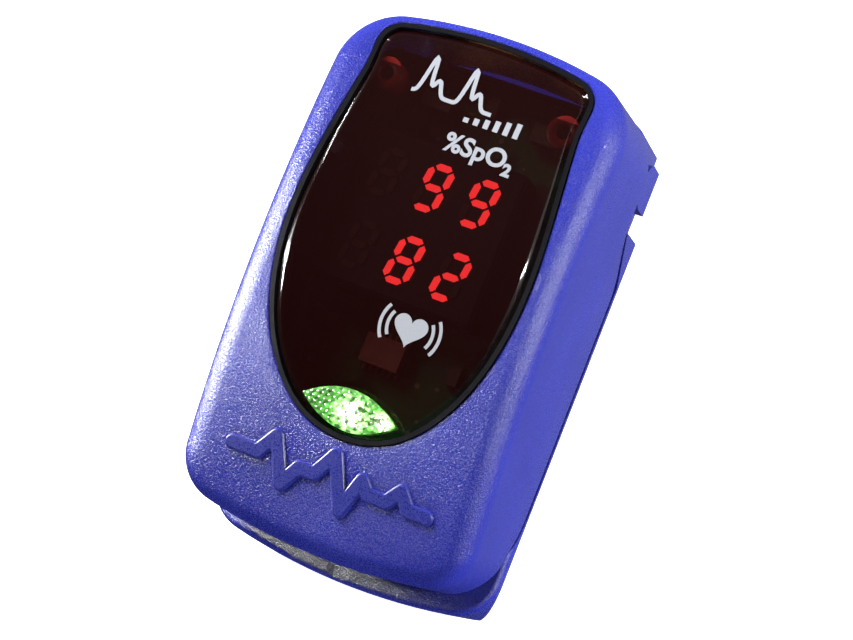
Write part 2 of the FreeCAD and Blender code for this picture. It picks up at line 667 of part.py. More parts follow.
def detector_window():
    return rod(APERTURE_RADIUS - 0.08, V(0, SENSOR_Y, DECK_Z + DECK_THICKNESS), Z_AXIS, 0.6)


def detector_board():
    return box(-2.3, 2.3, SENSOR_Y - 5.5, SENSOR_Y + 5.5, DECK_Z - 0.6, DECK_Z)


def photodiode():
    body = box(-1.2, 1.2, SENSOR_Y - 1.2, SENSOR_Y + 1.2, DECK_Z, DECK_Z + 0.6)
    die = box(-0.8, 0.8, SENSOR_Y - 0.8, SENSOR_Y + 0.8, DECK_Z + 0.5, DECK_Z + 0.7)
    return fused([body, die])


def battery_contact_plates():
    plates = [box(side * CELL_X - 3.2, side * CELL_X + 3.2, -22.6, -22.3, 2.2, 10.2)
              for side in (-1, 1)]
    return group(plates)


def battery_contact_springs():
    springs = []
    for side in (-1, 1):
        start = V(side * CELL_X, -22.0, CELL_Z)
        springs.append(coil(1.6, 1.1, 3.4, 0.28, start, Y_AXIS))
    return group(springs)


# ---- battery tray -------------------------------------------------------------------------
def battery_tray():
    """Open tray that draws out rearwards; its end cap closes the battery bay."""
    bed = box(-TRAY_HALF_WIDTH, TRAY_HALF_WIDTH, CELL_FRONT - 0.9, CAP_FRONT + 0.2, TRAY_Z,
              CRADLE_Z)
    for side in (-1, 1):
        cell = rod(CELL_RADIUS + FIT, V(side * CELL_X, CELL_FRONT - 0.1, CELL_Z), Y_AXIS,
                   CAP_FRONT - CELL_FRONT + 0.1)
        bed = bed.cut(cell)
    bed = bed.cut([
        box(-REACH, REACH, CELL_FRONT - 2, CELL_FRONT - 0.05, 4.0, 20),
        box(-8.7, 8.7, CELL_FRONT + CELL_LENGTH - 0.05, CAP_FRONT, 3.3, 20),
    ])
    cap = lower_block(0).common(box(-CAP_HALF_WIDTH, CAP_HALF_WIDTH, CAP_FRONT, REACH,
                                    TRAY_Z, HINGE_Z - 0.5))
    for step in range(4):
        groove = box(-6.0, 6.0, LOWER_REAR - 0.45, REACH, 3.6 + step * 1.7, 4.3 + step * 1.7)
        cap = cap.cut(groove)
    return bed.fuse(cap).removeSplitter()


def battery(side):
    """One AAA cell; the two lie with opposite ends forward."""
    body_length = CELL_LENGTH - CELL_NUB
    body_start = CELL_FRONT + (CELL_NUB if side < 0 else 0)
    nub_start = CELL_FRONT if side < 0 else CELL_FRONT + body_length - 0.1
    body = rod(CELL_RADIUS, V(side * CELL_X, body_start, CELL_Z), Y_AXIS, body_length)
    body = body.makeFillet(0.5, [e for e in body.Edges if e.Closed])
    nub = rod(1.9, V(side * CELL_X, nub_start, CELL_Z), Y_AXIS, CELL_NUB + 0.1)
    return body.fuse(nub).removeSplitter()


def tray_bridge_contact():
    return box(-8.6, 8.6, CELL_FRONT + CELL_LENGTH, CAP_FRONT, 3.4, 9.4)


# ---- write every node ---------------------------------------------------------------------
lit, unlit = display_digits()
block = guide_block()
NODES = {
    "top_cover": top_cover(),
    "window_gasket": window_gasket(),
    "display_window": display_window(),
    "pulse_indicator_lens": pulse_indicator_lens(),
    "display_module": display_module(),
    "lit_segments": lit,
    "unlit_segments": unlit,
    "main_circuit_board": main_circuit_board(),
    "processor_chip": processor_chip(),
    "board_components": board_components(),
    "indicator_led": indicator_led(),
    "upper_chassis": upper_chassis(),
    "chassis_screws": chassis_screws(),
    "upper_finger_pad": upper_finger_pad(),
    "emitter_window": emitter_window(),
    "led_emitter": led_emitter(),
    "hinge_pin": hinge_pin(),
    "guide_block_left": mirrored(block),
    "guide_block_right": block,
    "lift_springs": lift_springs(),
    "torsion_springs": torsion_springs(),
    "lower_frame": lower_frame(),
    "bottom_cover": bottom_cover(),
    "cover_screws": cover_screws(),
    "rating_plate": rating_plate(),
    "lower_finger_pad": lower_finger_pad(),
    "detector_window": detector_window(),
    "detector_board": detector_board(),
    "photodiode": photodiode(),
    "battery_contact_plates": battery_contact_plates(),
    "battery_contact_springs": battery_contact_springs(),
    "battery_tray": battery_tray(),
    "battery_left": battery(-1),
    "battery_right": battery(1),
    "tray_bridge_contact": tray_bridge_contact(),
}
for node, shape in NODES.items():
    export(node, shape)
    print(node, len(shape.Solids), shape.isValid(), round(shape.Volume, 1))
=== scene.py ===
"""Looks of the fingertip pulse oximeter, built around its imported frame. Metres, row frame."""
import json
import math
import bmesh
import bpy
from mathutils import Matrix, Vector

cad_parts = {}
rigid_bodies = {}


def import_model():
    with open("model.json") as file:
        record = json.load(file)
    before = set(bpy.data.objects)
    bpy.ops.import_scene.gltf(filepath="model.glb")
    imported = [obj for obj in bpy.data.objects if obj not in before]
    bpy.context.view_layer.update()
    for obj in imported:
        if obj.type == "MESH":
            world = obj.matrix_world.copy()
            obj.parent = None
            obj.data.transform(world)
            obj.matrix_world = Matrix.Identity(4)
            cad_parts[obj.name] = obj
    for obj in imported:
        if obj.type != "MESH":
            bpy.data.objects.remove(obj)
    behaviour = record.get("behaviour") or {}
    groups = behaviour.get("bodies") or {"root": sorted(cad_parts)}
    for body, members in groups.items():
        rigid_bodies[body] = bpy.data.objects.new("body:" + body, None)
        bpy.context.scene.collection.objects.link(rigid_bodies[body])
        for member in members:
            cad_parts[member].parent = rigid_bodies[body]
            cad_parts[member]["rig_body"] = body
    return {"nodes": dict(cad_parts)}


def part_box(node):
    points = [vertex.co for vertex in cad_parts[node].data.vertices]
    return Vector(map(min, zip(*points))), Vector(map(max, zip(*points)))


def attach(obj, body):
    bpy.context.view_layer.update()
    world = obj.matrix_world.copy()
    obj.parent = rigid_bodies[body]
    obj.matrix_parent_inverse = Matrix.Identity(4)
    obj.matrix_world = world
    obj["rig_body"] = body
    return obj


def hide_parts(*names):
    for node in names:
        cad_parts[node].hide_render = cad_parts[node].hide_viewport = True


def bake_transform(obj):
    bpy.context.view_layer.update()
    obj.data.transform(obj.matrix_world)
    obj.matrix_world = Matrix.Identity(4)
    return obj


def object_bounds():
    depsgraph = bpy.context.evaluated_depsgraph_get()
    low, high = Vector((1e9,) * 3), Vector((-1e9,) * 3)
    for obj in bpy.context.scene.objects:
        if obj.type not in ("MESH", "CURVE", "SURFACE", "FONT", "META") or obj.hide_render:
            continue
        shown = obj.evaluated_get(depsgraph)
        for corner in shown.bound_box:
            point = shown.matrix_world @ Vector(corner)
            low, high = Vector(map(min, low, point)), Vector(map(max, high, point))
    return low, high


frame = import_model()
cad_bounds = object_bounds()
nodes = frame["nodes"]
MM = 0.001

# the crowned top is one large cylinder across the device, touching the top of the box
CROWN_RADIUS = 87.6 * MM
CROWN_Y = 6.4 * MM
CROWN_TOP = cad_bounds[1][2]

# ---- materials ----------------------------------------------------------------------------
BLUE = (0.017, 0.022, 0.24)


class Shader:
    """A material's node tree with short calls for the nodes used here."""

    def __init__(self, name):
        self.material = bpy.data.materials.new(name)
        self.material.use_nodes = True
        self.tree = self.material.node_tree
        self.surface = self.tree.nodes["Principled BSDF"]
        coordinates = self.tree.nodes.new("ShaderNodeTexCoord")
        self.place = coordinates.outputs["Object"]

    def node(self, kind, **settings):
        made = self.tree.nodes.new("ShaderNode" + kind)
        for key, value in settings.items():
            setattr(made, key, value)
        return made

    def link(self, source, target):
        self.tree.links.new(source, target)

    def set(self, **values):
        for key, value in values.items():
            target = self.surface.inputs[key.replace("_", " ")]
            if hasattr(value, "is_output"):
                self.link(value, target)
            else:
                target.default_value = value

    def noise(self, size, detail=3.0, stretch=(1, 1, 1)):
        """Noise whose features are about size metres across."""
        mapping = self.node("Mapping")
        mapping.inputs["Scale"].default_value = stretch
        self.link(self.place, mapping.inputs["Vector"])
        made = self.node("TexNoise")
        made.inputs["Scale"].default_value = 1 / size
        made.inputs["Detail"].default_value = detail
        self.link(mapping.outputs["Vector"], made.inputs["Vector"])
        return made.outputs["Fac"]

    def cells(self, size, feature="SMOOTH_F1"):
        made = self.node("TexVoronoi", feature=feature)
        made.inputs["Scale"].default_value = 1 / size
        self.link(self.place, made.inputs["Vector"])
        return made.outputs["Distance"]

    def math(self, operation, a, b=0.0, clamp=False):
        made = self.node("Math", operation=operation, use_clamp=clamp)
        for slot, value in zip(made.inputs, (a, b)):
            if hasattr(value, "is_output"):
                self.link(value, slot)
            else:
                slot.default_value = value
        return made.outputs[0]

    def ramp(self, factor, low, high, start=0.0, end=1.0):
        """A value that goes from low to high as factor goes from start to end."""
        made = self.node("MapRange", clamp=True)
        for name, value in (("From Min", start), ("From Max", end), ("To Min", low), ("To Max", high)):
            made.inputs[name].default_value = value
        self.link(factor, made.inputs["Value"])
        return made.outputs["Result"]

    def mix(self, factor, first, second):
        made = self.node("Mix", data_type="RGBA")
        for slot, value in zip((made.inputs[0], made.inputs[6], made.inputs[7]),
                               (factor, first, second)):
            if hasattr(value, "is_output"):
                self.link(value, slot)
            elif isinstance(value, tuple):
                slot.default_value = (*value, 1.0)
            else:
                slot.default_value = value
        return made.outputs[2]

    def bump(self, height, depth, strength=1.0):
        """Bump with a real depth in metres; repeated calls add up."""
        made = self.node("Bump")
        made.inputs["Strength"].default_value = strength
        made.inputs["Distance"].default_value = depth
        self.link(height, made.inputs["Height"])
        previous = self.surface.inputs["Normal"].links
        if previous:
            self.link(previous[0].from_socket, made.inputs["Normal"])
        self.link(made.outputs["Normal"], self.surface.inputs["Normal"])


def sparked_plastic(name, colour, roughness=0.24, grain=0.20 * MM, depth=0.042 * MM):
    """Moulded plastic with a spark-eroded grain, rubbed paler and smoother in patches."""
    shader = Shader(name)
    worn = shader.noise(9 * MM, 4)
    rubbed = tuple(c * 1.15 + 0.002 for c in colour)
    shader.set(Base_Color=shader.mix(shader.ramp(worn, 0, 1, 0.35, 0.7), colour, rubbed))
    shader.set(Specular_IOR_Level=0.42)
    polish = shader.ramp(shader.noise(0.14 * MM, 2), roughness + 0.14, roughness - 0.12, 0.42, 0.60)
    shader.set(Roughness=polish)
    shader.bump(shader.cells(grain), depth)
    shader.bump(shader.noise(grain * 0.6, 3), depth * 1.6)
    return shader.material


def plain_plastic(name, colour, roughness=0.5, specular=0.4):
    """Fine-textured moulding for the parts inside."""
    shader = Shader(name)
    spots = shader.noise(1.2 * MM, 5)
    shader.set(Base_Color=shader.mix(spots, colour, tuple(c * 0.82 for c in colour)),
               Specular_IOR_Level=specular)
    shader.set(Roughness=shader.ramp(spots, roughness - 0.06, roughness + 0.08))
    shader.bump(shader.noise(0.3 * MM, 3), 0.008 * MM)
    return shader.material


def metal(name, colour, roughness, grain_direction=(1, 1, 1)):
    """Bare metal with drawn or ground marks along one direction."""
    shader = Shader(name)
    marks = shader.noise(0.25 * MM, 4, grain_direction)
    shader.set(Base_Color=shader.mix(marks, colour, tuple(c * 0.75 for c in colour)), Metallic=1.0)
    shader.set(Roughness=shader.ramp(marks, roughness - 0.07, roughness + 0.1))
    shader.bump(marks, 0.004 * MM)
    return shader.material


def silicone(name, colour):
    """Soft matt rubber: faint bloom, fine skin, and light that passes a little way in."""
    shader = Shader(name)
    bloom = shader.noise(5 * MM, 5)
    shader.set(Base_Color=shader.mix(bloom, colour, tuple(c * 1.3 for c in colour)),
               Roughness=shader.ramp(bloom, 0.55, 0.72), Sheen_Weight=0.25, Subsurface_Weight=0.15,
               Subsurface_Scale=0.6 * MM)
    shader.bump(shader.noise(0.22 * MM, 4), 0.012 * MM)
    return shader.material


def smoked_lens():
    """Dark red filter: some of what lies under it shows through, and its face is polished."""
    shader = Shader("smoked_lens_look")
    streaks = shader.noise(14 * MM, 2)
    shader.set(Base_Color=(0.010, 0.0015, 0.0015, 1), Specular_IOR_Level=0.85)
    shader.set(Roughness=shader.ramp(streaks, 0.05, 0.09))
    shader.set(Alpha=shader.ramp(streaks, 0.58, 0.66))
    shader.bump(shader.noise(4 * MM, 2), 0.002 * MM)
    return shader.material


def clear_plastic(name, colour, alpha):
    shader = Shader(name)
    haze = shader.noise(0.8 * MM, 3)
    shader.set(Base_Color=(*colour, 1), Roughness=shader.ramp(haze, 0.08, 0.16), Alpha=alpha)
    shader.bump(haze, 0.004 * MM)
    return shader.material


def lit_bar(name, colour, strength):
    """Diffuser of a display bar, its glow varying a little at random."""
    shader = Shader(name)
    grain = shader.noise(0.5 * MM, 2)
    glow = shader.ramp(grain, strength * 0.88, strength * 1.08)
    shader.set(Base_Color=(*colour, 1), Roughness=0.5, Emission_Color=(*colour, 1),
               Emission_Strength=glow)
    return shader.material


def pulse_lens_look():
    """Dimpled green lens lit from below: near white in the middle, green with dark specks round it, with a
    painted glint near its right tip.
    """
    shader = Shader("pulse_lens_look")
    low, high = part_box("pulse_indicator_lens")
    centre = (low + high) / 2
    spread = shader.node("VectorMath", operation="DISTANCE")
    shader.link(shader.place, spread.inputs[0])
    spread.inputs[1].default_value = (centre.x + 0.5 * MM, centre.y - 0.3 * MM, high.z)
    near = shader.ramp(spread.outputs["Value"], 1.0, 0.0, 0.5 * MM, 2.9 * MM)
    # painted glint: a white spot near the right tip, added to the lens's own glow as emission
    tip = shader.node("VectorMath", operation="DISTANCE")
    shader.link(shader.place, tip.inputs[0])
    tip.inputs[1].default_value = (high.x - 1.3 * MM, centre.y, high.z)
    painted_tip_glint = shader.ramp(tip.outputs["Value"], 1.0, 0.0, 0.5 * MM, 1.5 * MM)
    led_glow_and_glint = shader.math("ADD", near, painted_tip_glint, clamp=True)
    facets = shader.cells(0.50 * MM, "F1")
    specks = shader.ramp(shader.noise(0.6 * MM, 1), 0.12, 1.0, 0.40, 0.48)
    sparkle = shader.math("MULTIPLY", shader.ramp(facets, 1.3, 0.25, 0.15, 0.75), specks)
    dim = shader.math("MULTIPLY", sparkle, 0.40)
    # the emission and its whitening carry the painted glint as well as the lens's own glow
    glow = shader.math("ADD", shader.math("MULTIPLY", shader.math("MULTIPLY", led_glow_and_glint, 4.5), sparkle), dim)
    tint = shader.mix(shader.math("POWER", led_glow_and_glint, 2.0), (0.16, 0.80, 0.07), (0.93, 1.0, 0.72))
    shader.set(Base_Color=shader.mix(facets, (0.10, 0.30, 0.07), (0.04, 0.10, 0.03)), Roughness=0.1,
               Emission_Color=tint, Emission_Strength=glow)
    return shader.material


def cell_jacket():
    """Battery sleeve: dark body, a copper-coloured band at the positive end, fine scuffs."""
    shader = Shader("cell_jacket_look")
    split = shader.node("SeparateXYZ")
    shader.link(shader.place, split.inputs[0])
    low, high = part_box("battery_left")
    band = shader.math("GREATER_THAN", split.outputs["Y"], low.y + 0.72 * (high.y - low.y))
    scuffs = shader.noise(0.6 * MM, 5, (1, 0.1, 1))
    base = shader.mix(band, (0.035, 0.037, 0.042), (0.50, 0.20, 0.07))
    shader.set(Base_Color=shader.mix(shader.ramp(scuffs, 0, 0.35, 0.5, 0.9), base, (0.5, 0.5, 0.5)),
               Roughness=shader.ramp(scuffs, 0.22, 0.4))
    shader.bump(scuffs, 0.004 * MM)
    return shader.material


def circuit_board():
    """Solder mask over copper: paler where a pour lies beneath it, with dark tracks and pads."""
    shader = Shader("board_look")
    pours = shader.ramp(shader.noise(6 * MM, 2, (1, 1, 0.2)), 0.0, 1.0, 0.46, 0.50)
    lands = shader.ramp(shader.cells(1.9 * MM, "F1"), 1.0, 0.0, 0.12, 0.2)
    mask = shader.mix(pours, (0.012, 0.075, 0.035), (0.035, 0.17, 0.075))
    shader.set(Base_Color=shader.mix(shader.math("MULTIPLY", lands, pours), mask, (0.45, 0.36, 0.2)),
               Roughness=0.35)
    shader.bump(pours, 0.02 * MM)
    return shader.material


def assign(obj, material):
    obj.data.materials.clear()
    obj.data.materials.append(material)
    for polygon in obj.data.polygons:
        polygon.material_index = 0


def dress_frame():
    """Gives every CAD node its material."""
    blue = sparked_plastic("cover_blue_look", BLUE)
    steel = metal("steel_look", (0.56, 0.56, 0.58), 0.3)
    nickel = metal("nickel_look", (0.66, 0.62, 0.55), 0.22)
    board = circuit_board()
    white = plain_plastic("white_package_look", (0.75, 0.76, 0.72), 0.4)
    black = plain_plastic("black_package_look", (0.02, 0.02, 0.022), 0.45)
    acetal = plain_plastic("acetal_look", (0.72, 0.72, 0.69), 0.38)
    jacket = cell_jacket()
    clear = clear_plastic("clear_window_look", (0.75, 0.75, 0.78), 0.35)
    looks = {
        "top_cover": blue, "lower_frame": blue, "bottom_cover": blue, "battery_tray": blue,
        "window_gasket": plain_plastic("gasket_look", (0.005, 0.005, 0.007), 0.3, 0.35),
        "display_module": plain_plastic("display_body_look", (0.035, 0.012, 0.012), 0.6, 0.2),
        "lit_segments": lit_bar("lit_red_look", (1.0, 0.030, 0.032), 5.5),
        "unlit_segments": plain_plastic("unlit_look", (0.11, 0.035, 0.032), 0.55, 0.2),
        "main_circuit_board": board, "detector_board": board,
        "processor_chip": plain_plastic("chip_look", (0.72, 0.16, 0.12), 0.6, 0.2),
        "photodiode": black,
        "board_components": plain_plastic("ceramic_look", (0.20, 0.13, 0.08), 0.5, 0.3),
        "indicator_led": white, "led_emitter": white,
        "upper_chassis": plain_plastic("chassis_look", (0.022, 0.024, 0.045), 0.5),
        "chassis_screws": steel, "cover_screws": steel,
        "emitter_window": clear, "detector_window": clear,
        "hinge_pin": metal("pin_look", (0.62, 0.62, 0.64), 0.22, (0.1, 1, 1)),
        "guide_block_left": acetal, "guide_block_right": acetal,
        "lift_springs": steel, "torsion_springs": steel,
        "rating_plate": plain_plastic("plate_look", (0.62, 0.64, 0.67), 0.32),
        "battery_contact_plates": nickel, "battery_contact_springs": nickel,
        "tray_bridge_contact": nickel, "battery_left": jacket, "battery_right": jacket,
    }
    for name, look in looks.items():
        assign(nodes[name], look)
    return blue


def soften_edges(name, width, segments=3, angle=35):
    """A small moulded radius on a CAD node's sharp edges."""
    bevel = nodes[name].modifiers.new("moulded_edge", "BEVEL")
    bevel.width = width
    bevel.segments = segments
    bevel.limit_method = "ANGLE"
    bevel.angle_limit = math.radians(angle)
    bevel.harden_normals = False


# ---- pieces -------------------------------------------------------------------------------
def crown_z(y, above=0.0):
    """Height of the crowned top at y, plus a distance above it."""
    reach = CROWN_RADIUS + above
    return CROWN_TOP - CROWN_RADIUS + math.sqrt(reach ** 2 - (y - CROWN_Y) ** 2)


def make_piece(name, vertices, faces, body, look, smooth=True):
    """A new mesh in the row frame. Without a body it is left free."""
    mesh = bpy.data.meshes.new(name)
    mesh.from_pydata([tuple(v) for v in vertices], [], faces)
    mesh.validate()
    tidy = bmesh.new()
    tidy.from_mesh(mesh)
    bmesh.ops.remove_doubles(tidy, verts=tidy.verts, dist=0.0005 * MM)
    bmesh.ops.recalc_face_normals(tidy, faces=tidy.faces)
    tidy.to_mesh(mesh)
    tidy.free()
    obj = bpy.data.objects.new(name, mesh)
    bpy.context.scene.collection.objects.link(obj)
    obj.data.materials.append(look)
    for polygon in obj.data.polygons:
        polygon.use_smooth = smooth
    if body:
        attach(obj, body)
    return obj


# The cover's plan has bowed ends, slightly tapering sides and round corners.
COVER_DROP = 0.3 * MM
EDGE_RADIUS = 2.6 * MM
COVER_WALL = 1.5 * MM
COVER_FRONT, COVER_REAR = -26.4 * MM, 28.2 * MM
CREASE_Z = 18.0 * MM
FRONT_CORNER, REAR_CORNER = 5.0 * MM, 7.0 * MM
# the flanks lean in by 0.75 mm of the 16.5 mm half width over 14 mm of height above the crease
FLANK_LEAN = 0.75 / 16.5 / (14.0 * MM)
HOLE_MIDDLE = Vector((0, 6.0 * MM))


def round_corner(centre, bow_radius, start, end, radius):
    """Centre of the corner arc inside a bowed end and tangent to the straight side."""
    run = (end - start).normalized()
    inward = Vector((-run.y, run.x))
    if inward.x > 0:
        inward.negate()
    q = start + inward * radius - centre
    along = q.dot(run)
    reach = math.sqrt(along ** 2 - q.dot(q) + (bow_radius - radius) ** 2)
    middle = start + inward * radius + run * (reach - along)
    return middle, inward


def arc_points(centre, radius, first, last, count):
    """Points and outward normals on an arc, between two points on it."""
    a = math.atan2(first.y - centre.y, first.x - centre.x)
    b = math.atan2(last.y - centre.y, last.x - centre.x)
    turn = (b - a + math.pi) % (2 * math.pi) - math.pi
    found = []
    for i in range(count):
        angle = a + turn * i / count
        normal = Vector((math.cos(angle), math.sin(angle)))
        found.append((centre + normal * radius, normal))
    return found


def cover_plan():
    """Points and outward normals round the cover, from the middle of its front edge."""
    front_half, rear_half, front_bow, rear_bow = 16.5 * MM, 16.1 * MM, 2.1 * MM, 2.5 * MM
    front_radius = (front_half ** 2 + front_bow ** 2) / (2 * front_bow)
    rear_radius = (rear_half ** 2 + rear_bow ** 2) / (2 * rear_bow)
    front_centre = Vector((0, COVER_FRONT + front_radius))
    rear_centre = Vector((0, COVER_REAR - rear_radius))
    low = Vector((front_half, COVER_FRONT + front_bow))
    high = Vector((rear_half, COVER_REAR - rear_bow))
    near, inward = round_corner(front_centre, front_radius, high, low, FRONT_CORNER)
    far, _ = round_corner(rear_centre, rear_radius, low, high, REAR_CORNER)
    near_arc = front_centre + (near - front_centre).normalized() * front_radius
    far_arc = rear_centre + (far - rear_centre).normalized() * rear_radius
    near_side = near - inward * FRONT_CORNER
    far_side = far - inward * REAR_CORNER
    right = arc_points(front_centre, front_radius, Vector((0, COVER_FRONT)), near_arc, 30)
    right += arc_points(near, FRONT_CORNER, near_arc, near_side, 20)
    steps = 90
    right += [(near_side.lerp(far_side, i / steps), -inward) for i in range(steps)]
    right += arc_points(far, REAR_CORNER, far_side, far_arc, 24)
    right += arc_points(rear_centre, rear_radius, far_arc, Vector((0, COVER_REAR)), 30)
    right.append((Vector((0, COVER_REAR)), Vector((0, 1))))
    left = [(Vector((-p.x, p.y)), Vector((-n.x, n.y))) for p, n in reversed(right[1:-1])]
    return right + left


def window_hole(grow):
    """The hole the window sits in, as a dense outline grown outwards by grow."""
    half = [(0, -14.35), (4.8, -13.1), (9.0, -8.75), (11.4, -3.0), (12.35, 4.3), (11.85, 12.8),
            (11.0, 20.3), (11.05, 23.4), (10.5, 24.8), (9.1, 25.5), (4.6, 26.2), (0, 26.45)]
    ring = half + [(-x, y) for x, y in reversed(half[1:-1])]
    ring = [Vector(p) * MM for p in ring]
    outline = []
    count = len(ring)
    for k in range(count):
        a, b, c, d = [ring[(k + shift) % count] for shift in (-1, 0, 1, 2)]
        for i in range(24):
            t = i / 24
            outline.append(0.5 * (2 * b + (c - a) * t + (2 * a - 5 * b + 4 * c - d) * t * t
                                  + (3 * b - a - 3 * c + d) * t ** 3))
    grown = []
    for k, point in enumerate(outline):
        run = (outline[(k + 1) % len(outline)] - outline[k - 1]).normalized()
        grown.append(point + Vector((run.y, -run.x)) * grow)
    return grown


def meet(outline, origin, target):
    """Where the line from origin towards target crosses a closed outline."""
    ray = target - origin
    best = None
    for a, b in zip(outline, outline[1:] + outline[:1]):
        edge = b - a
        cross = ray.x * edge.y - ray.y * edge.x
        if abs(cross) < 1e-15:
            continue
        gap = a - origin
        along = (gap.x * edge.y - gap.y * edge.x) / cross
        share = (gap.x * ray.y - gap.y * ray.x) / cross
        if along > 0 and -1e-9 <= share <= 1 + 1e-9 and (best is None or along > best):
            best = along
    return origin + ray * best


def seam_z(y):
    """Height of the cover's lower edge, which dips along the flank, with rounded bends."""
    bends = [(-40, 18.2), (-28.5, 18.2), (-24.2, 17.8), (-16.5, 12.7), (10.0, 12.2), (15.0, 16.5),
             (40, 16.5)]
    total = 0.0
    for shift in range(-4, 5):
        at = y / MM + shift * 0.35
        for (y0, z0), (y1, z1) in zip(bends, bends[1:]):
            if y0 <= at < y1:
                total += z0 + (z1 - z0) * (at - y0) / (y1 - y0)
    return total / 9 * MM


def cover_section(point, normal, hole):
    """One slice of the cover, from the inside of its lower edge over the top to the window."""
    foot = seam_z(point.y)
    slope = (CROWN_Y - point.y) / CROWN_RADIUS * -normal.y
    slant = math.sqrt(1 + slope ** 2)
    tangent_inset = EDGE_RADIUS * (1 - slope / slant)
    tangent_y = point.y - normal.y * tangent_inset
    tangent_z = crown_z(tangent_y) - COVER_DROP
    centre_z = tangent_z - EDGE_RADIUS / slant

    def leaned(place, z):
        share = 1 - FLANK_LEAN * max(0.0, z - CREASE_Z)
        return (place.x * share, place.y, z)

    inner = point - normal * COVER_WALL
    soft = 0.35 * MM
    section = [leaned(inner, tangent_z - 2.6 * MM), leaned(inner, foot)]
    for step in range(6):
        angle = math.pi / 2 * step / 5
        inset = soft * (1 - math.sin(angle))
        section.append(leaned(point - normal * inset, foot + soft * (1 - math.cos(angle))))
    for step in range(1, 9):
        section.append(leaned(point, foot + soft + (CREASE_Z - foot - soft) * step / 8))
    for step in range(1, 7):
        section.append(leaned(point, CREASE_Z + (centre_z - CREASE_Z) * step / 6))
    lip = 0.3 * MM
    start = Vector(leaned(point, centre_z)[:2])
    strip = min((start - place).length for place in hole)
    widest = min(tangent_inset, strip - lip)
    sweep = math.acos(1 - widest / EDGE_RADIUS)
    for step in range(1, 11):
        inset = EDGE_RADIUS * (1 - math.cos(sweep * step / 10))
        place = start - normal * inset
        rise = math.sqrt(EDGE_RADIUS ** 2 - (EDGE_RADIUS - inset) ** 2)
        section.append((place.x, place.y, centre_z + rise))
    rim = meet(hole, HOLE_MIDDLE, place)
    run = rim - place
    below = section[-1][2] - crown_z(place.y) + COVER_DROP
    for step in range(1, 15):
        share = step / 14
        spot = place + run * share * (1 - lip / run.length)
        section.append((spot.x, spot.y, crown_z(spot.y) - COVER_DROP + below * (1 - share)))
    for step in range(1, 5):
        angle = math.pi / 2 * step / 4
        spot = rim - run / run.length * lip * (1 - math.sin(angle))
        drop = COVER_DROP + lip * (1 - math.cos(angle))
        section.append((spot.x, spot.y, crown_z(spot.y) - drop))
    section.append((rim.x, rim.y, crown_z(rim.y) - COVER_DROP - COVER_WALL))
    return section


def cover_moulding(look):
    """The top cover as one smooth moulding: rolled edge, crowned face, hole for the window."""
    hole = window_hole(0.5 * MM)
    sections = [cover_section(point, normal, hole) for point, normal in cover_plan()]
    rows = len(sections[0])
    vertices = [vertex for section in sections for vertex in section]
    faces = []
    for i in range(len(sections)):
        following = (i + 1) % len(sections)
        for j in range(rows):
            above = (j + 1) % rows
            faces.append((i * rows + j, following * rows + j, following * rows + above, i * rows + above))
    cover = make_piece("cover_moulding", vertices, faces, "upper_unit", look)
    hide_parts("top_cover")


def window_moulding(look):
    """The smoked window: crowned faces and a polished bevel round its edge."""
    thickness, rings = 1.2 * MM, 14
    bevel = [(0.02, -1.2), (0.02, -0.82), (0.06, -0.72), (0.68, -0.08), (0.76, -0.015), (0.9, 0.0)]
    profile = [(inset * MM, drop * MM) for inset, drop in bevel]
    vertices, faces = [], []
    outline = window_hole(0.0)[::2]
    for point in outline:
        inward = (HOLE_MIDDLE - point).normalized()
        under = point + inward * profile[0][0]
        over = point + inward * profile[-1][0]
        section = [(under.lerp(HOLE_MIDDLE, step / rings), -thickness) for step in range(rings, 0, -1)]
        section += [(point + inward * inset, drop) for inset, drop in profile]
        section += [(over.lerp(HOLE_MIDDLE, step / rings), 0.0) for step in range(1, rings + 1)]
        vertices += [(spot.x, spot.y, crown_z(spot.y) + drop) for spot, drop in section]
    rows = len(section)
    for i in range(len(outline)):
        following = (i + 1) % len(outline)
        for j in range(rows - 1):
            faces.append((i * rows + j, following * rows + j, following * rows + j + 1, i * rows + j + 1))
    window = make_piece("window_moulding", vertices, faces, "upper_unit", look)
    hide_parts("display_window")


def distance_to_path(x, y, path):
    best = 1.0
    for (x0, y0), (x1, y1) in zip(path, path[1:]):
        run_x, run_y = x1 - x0, y1 - y0
        share = ((x - x0) * run_x + (y - y0) * run_y) / (run_x ** 2 + run_y ** 2)
        share = min(1.0, max(0.0, share))
        best = min(best, math.hypot(x - x0 - share * run_x, y - y0 - share * run_y))
    return best


def pulse_relief(look):
    """The raised pulse trace in front of the window, with soft edges."""
    corners = [(-10.6, 0), (-7.8, 0), (-6.3, 2.1), (-4.6, -2.1), (-3.2, 0), (-1.5, 0), (0.1, 2.5),
               (2.0, -2.4), (3.4, 1.1), (4.3, 0), (6.3, 0), (7.5, 1.5), (8.7, 0), (10.6, 0)]
    path = [(x * MM, (y - 18.9) * MM) for x, y in corners]
    half_stroke, edge, pitch = 0.72 * MM, 0.16 * MM, 0.11 * MM
    columns, rows = 212, 62
    kept, vertices, faces = {}, [], []
    for i in range(columns):
        for j in range(rows):
            x, y = -11.7 * MM + i * pitch, -22.2 * MM + j * pitch
            away = distance_to_path(x, y, path)
            if away > half_stroke + edge:
                continue
            share = min(1.0, max(0.0, (half_stroke - away) / edge + 0.5))
            rise = (share * share * (3 - 2 * share)) * 0.33 * MM - 0.04 * MM
            kept[i, j] = len(vertices)
            vertices.append((x, y, crown_z(y) - COVER_DROP + rise))
    for i, j in kept:
        quad = [kept.get(place) for place in ((i, j), (i + 1, j), (i + 1, j + 1), (i, j + 1))]
        if None not in quad:
            faces.append(tuple(quad))
    make_piece("pulse_trace_relief", vertices, faces, "upper_unit", look)


